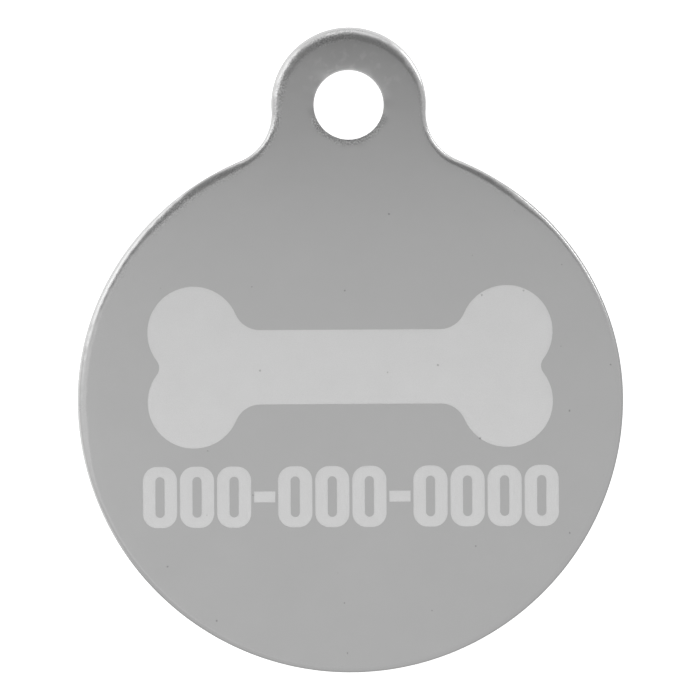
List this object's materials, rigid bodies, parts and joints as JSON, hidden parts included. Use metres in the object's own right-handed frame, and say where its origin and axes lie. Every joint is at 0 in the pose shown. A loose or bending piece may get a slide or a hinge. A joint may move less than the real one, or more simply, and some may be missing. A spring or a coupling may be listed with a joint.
{
  "type": "pet id tag",
  "caption": "Flat round metal pet tag with a tab and ring hole at the top, tumbled edges, and a frosted bone figure and number row on its face.",
  "frame": {"origin": "middle of the disc, on the flat back face", "axes": "+Z out of the marked face, +Y from the disc up through the tab, +X to the right seen from the front"},
  "size_m": [0.032, 0.0378, 0.0015],
  "materials": {
    "satin_steel": "fine satin, tumbled, with burnished edges",
    "frosted_steel": "matt frosted, laser marked"
  },
  "bodies": {
    "root": {"tag_blank": "satin_steel", "bone_mark": "frosted_steel", "dash_1": "frosted_steel", "dash_2": "frosted_steel", "digit_01": "frosted_steel", "digit_02": "frosted_steel", "digit_03": "frosted_steel", "digit_04": "frosted_steel", "digit_05": "frosted_steel", "digit_06": "frosted_steel", "digit_07": "frosted_steel", "digit_08": "frosted_steel", "digit_09": "frosted_steel", "digit_10": "frosted_steel"}
  },
  "joints": []
}
